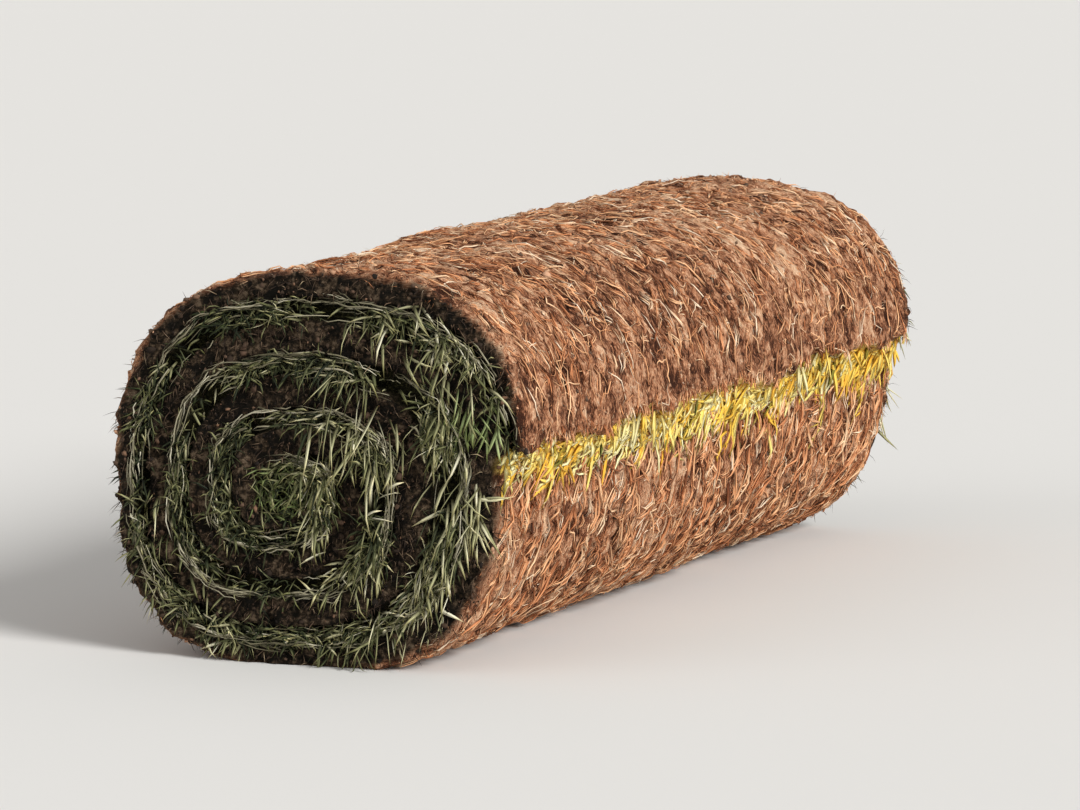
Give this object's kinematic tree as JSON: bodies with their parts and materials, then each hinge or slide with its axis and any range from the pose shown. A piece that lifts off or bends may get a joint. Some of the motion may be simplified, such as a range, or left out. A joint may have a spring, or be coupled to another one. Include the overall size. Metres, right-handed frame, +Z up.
{
  "type": "roll of turf",
  "caption": "Strip of turf rolled up grass side in, with the soil and root mat outside, grass showing as a spiral on both ends and a lapped free edge along one side.",
  "frame": {"origin": "middle of the underside, on the surface that the roll lies on", "axes": "+Y along the roll from its front end to its back end, +X towards the side with the lap, +Z up"},
  "size_m": [0.2439, 0.622, 0.2141],
  "materials": {
    "soil": "dry soil matted with fine fibrous roots",
    "grass": "pressed grass blades with pale straw thatch"
  },
  "bodies": {
    "root": {"turf_roll": "soil"}
  },
  "joints": []
}
